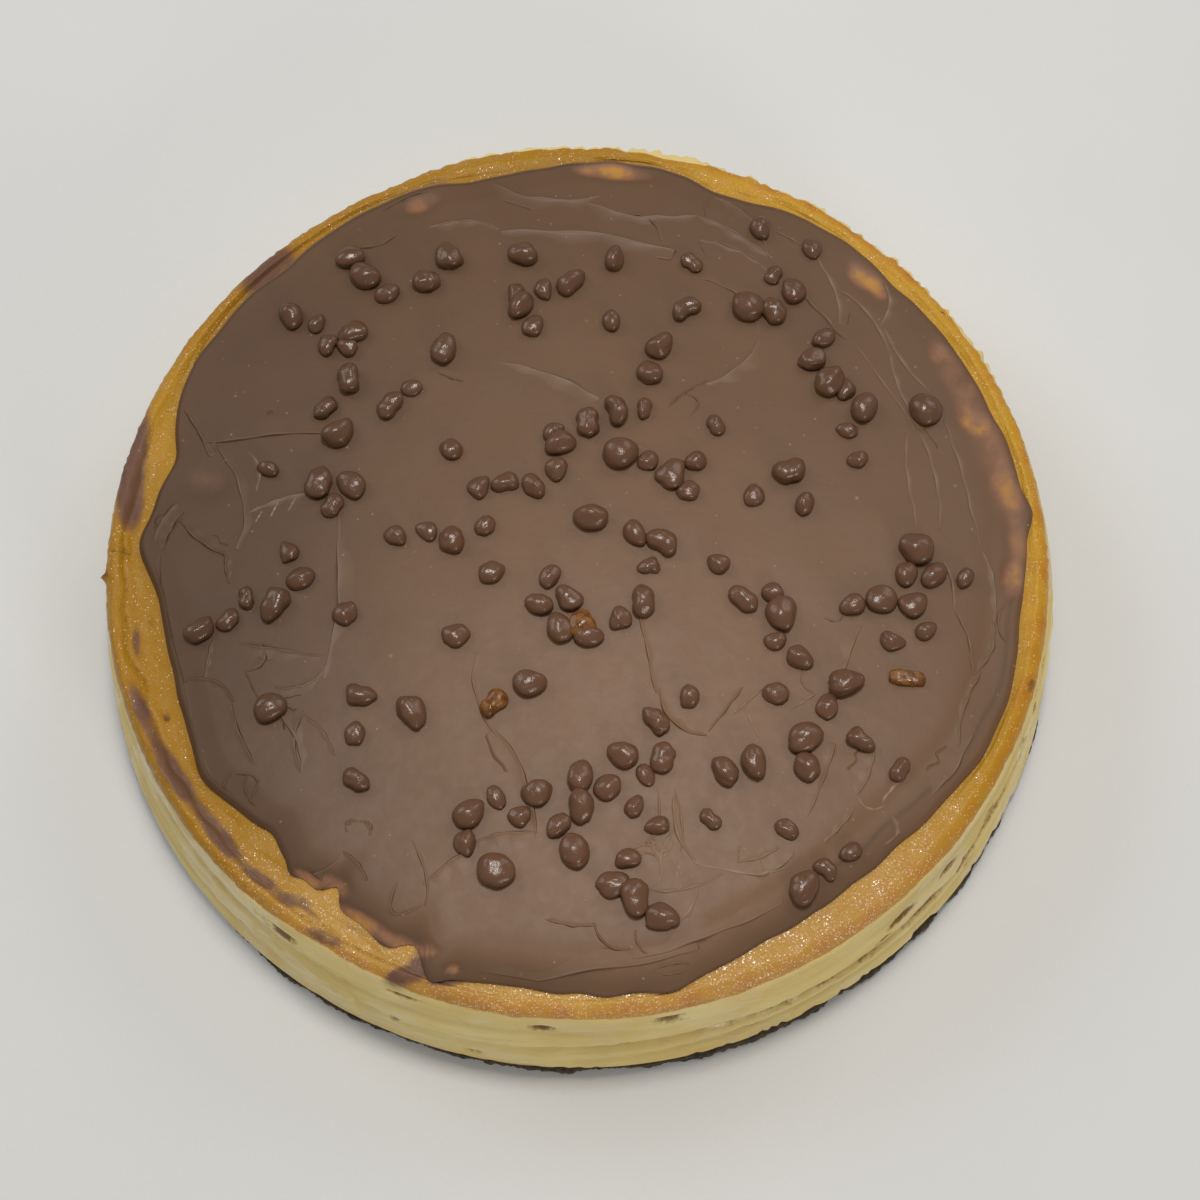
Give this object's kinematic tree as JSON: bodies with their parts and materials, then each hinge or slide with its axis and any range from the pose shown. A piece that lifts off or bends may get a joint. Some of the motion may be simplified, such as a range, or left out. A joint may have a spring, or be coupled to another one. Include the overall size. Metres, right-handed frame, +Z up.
{
  "type": "cheesecake",
  "caption": "Whole round baked cheesecake on a thin biscuit base, topped with a chocolate spread and chocolate-coated nuggets.",
  "frame": {"origin": "centre of the flat underside of the biscuit base, where the cake stands", "axes": "+Z up through the middle of the cake; -Y is the side that the picture shows nearest the viewer; +X is the picture's right"},
  "size_m": [0.28, 0.28, 0.0503],
  "materials": {
    "biscuit": "matte",
    "cheese": "satin",
    "chocolate": "satin"
  },
  "bodies": {
    "root": {"biscuit_base": "biscuit", "baked_cheese": "cheese", "chocolate_top": "chocolate"}
  },
  "joints": []
}
